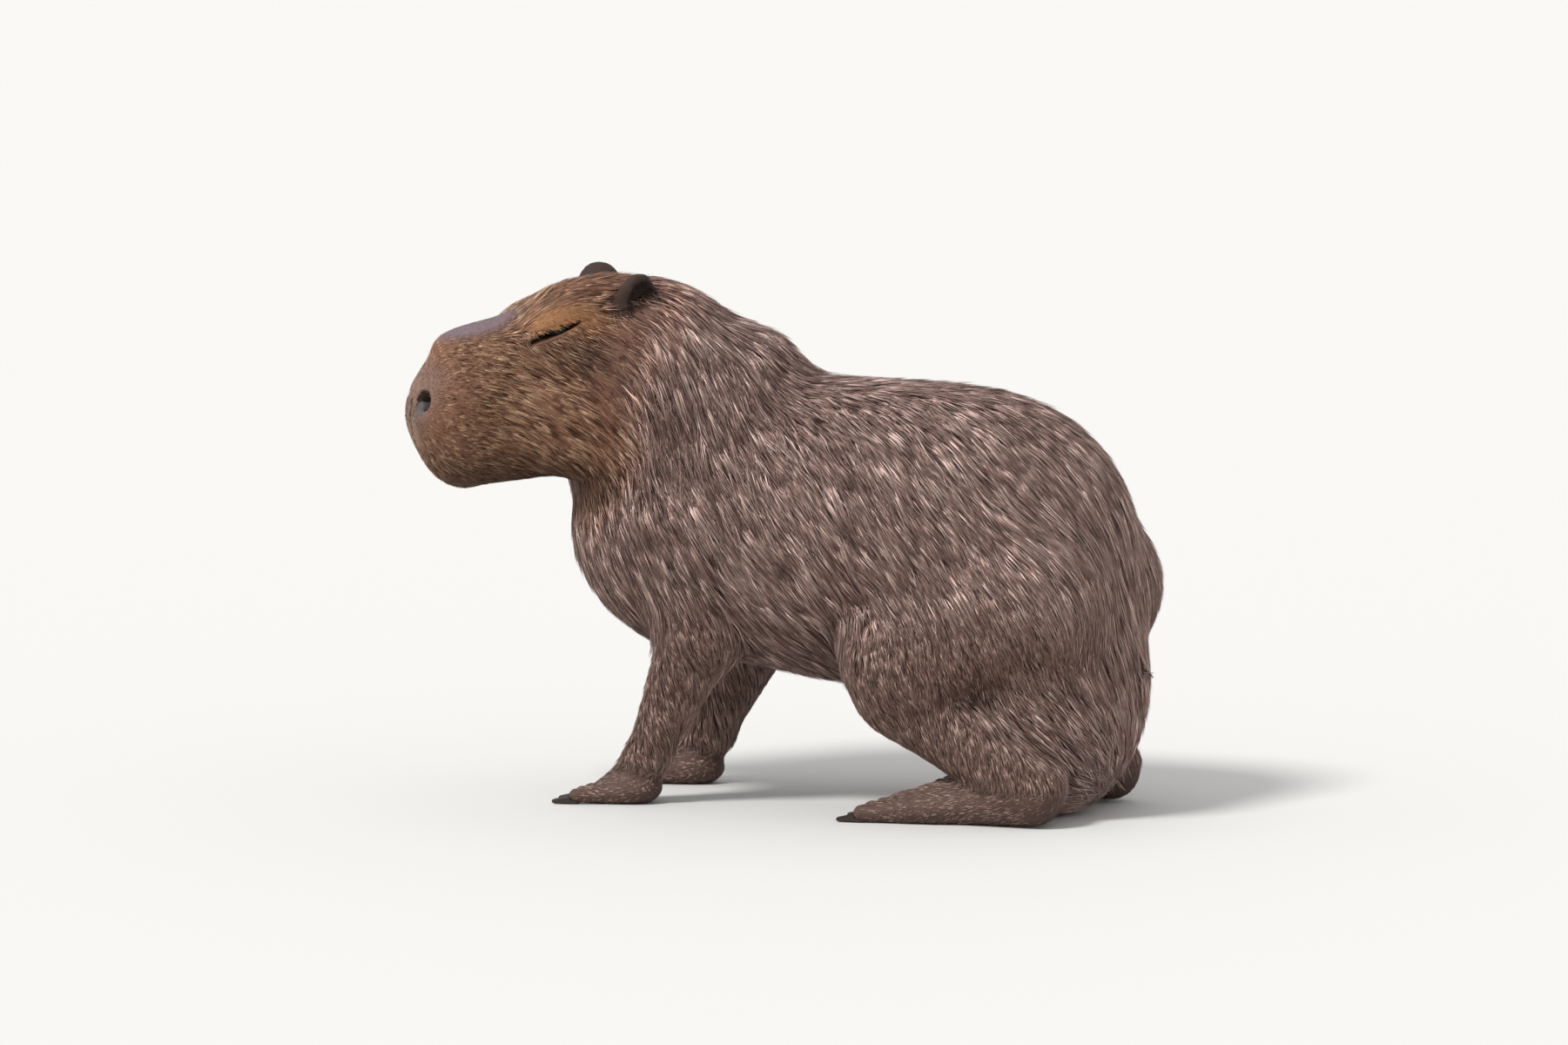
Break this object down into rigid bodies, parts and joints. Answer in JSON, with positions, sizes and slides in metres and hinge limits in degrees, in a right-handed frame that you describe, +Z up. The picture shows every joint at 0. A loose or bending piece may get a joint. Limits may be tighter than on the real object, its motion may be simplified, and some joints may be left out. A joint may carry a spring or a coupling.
{
  "type": "capybara",
  "caption": "life-size still model of an adult capybara resting on its haunches, head level and turned to its left",
  "frame": {"origin": "on the floor, under the middle of the whole animal's box", "axes": "+Z is up, the trunk faces -X, and +Y is to the animal's right"},
  "size_m": [0.7774, 0.4, 0.5585],
  "materials": {
    "coat": "coarse brown and grey hair lying along the body",
    "face": "short warm brown hair, bald grey skin on the nose",
    "ear": "dark bare skin with thin hair",
    "eye": "wet, almost black",
    "claw": "dark blunt horn"
  },
  "bodies": {
    "root": {"head": "face", "neck": "coat", "torso": "coat", "tail": "coat", "foreleg_left": "coat", "foreleg_right": "coat", "hindleg_left": "coat", "hindleg_right": "coat", "ear_left": "ear", "ear_right": "ear", "eye_left": "eye", "eye_right": "eye", "foreclaw_left_1": "claw", "foreclaw_left_2": "claw", "foreclaw_left_3": "claw", "foreclaw_left_4": "claw", "foreclaw_right_1": "claw", "foreclaw_right_2": "claw", "foreclaw_right_3": "claw", "foreclaw_right_4": "claw", "hindclaw_left_1": "claw", "hindclaw_left_2": "claw", "hindclaw_left_3": "claw", "hindclaw_right_1": "claw", "hindclaw_right_2": "claw", "hindclaw_right_3": "claw"}
  },
  "joints": []
}
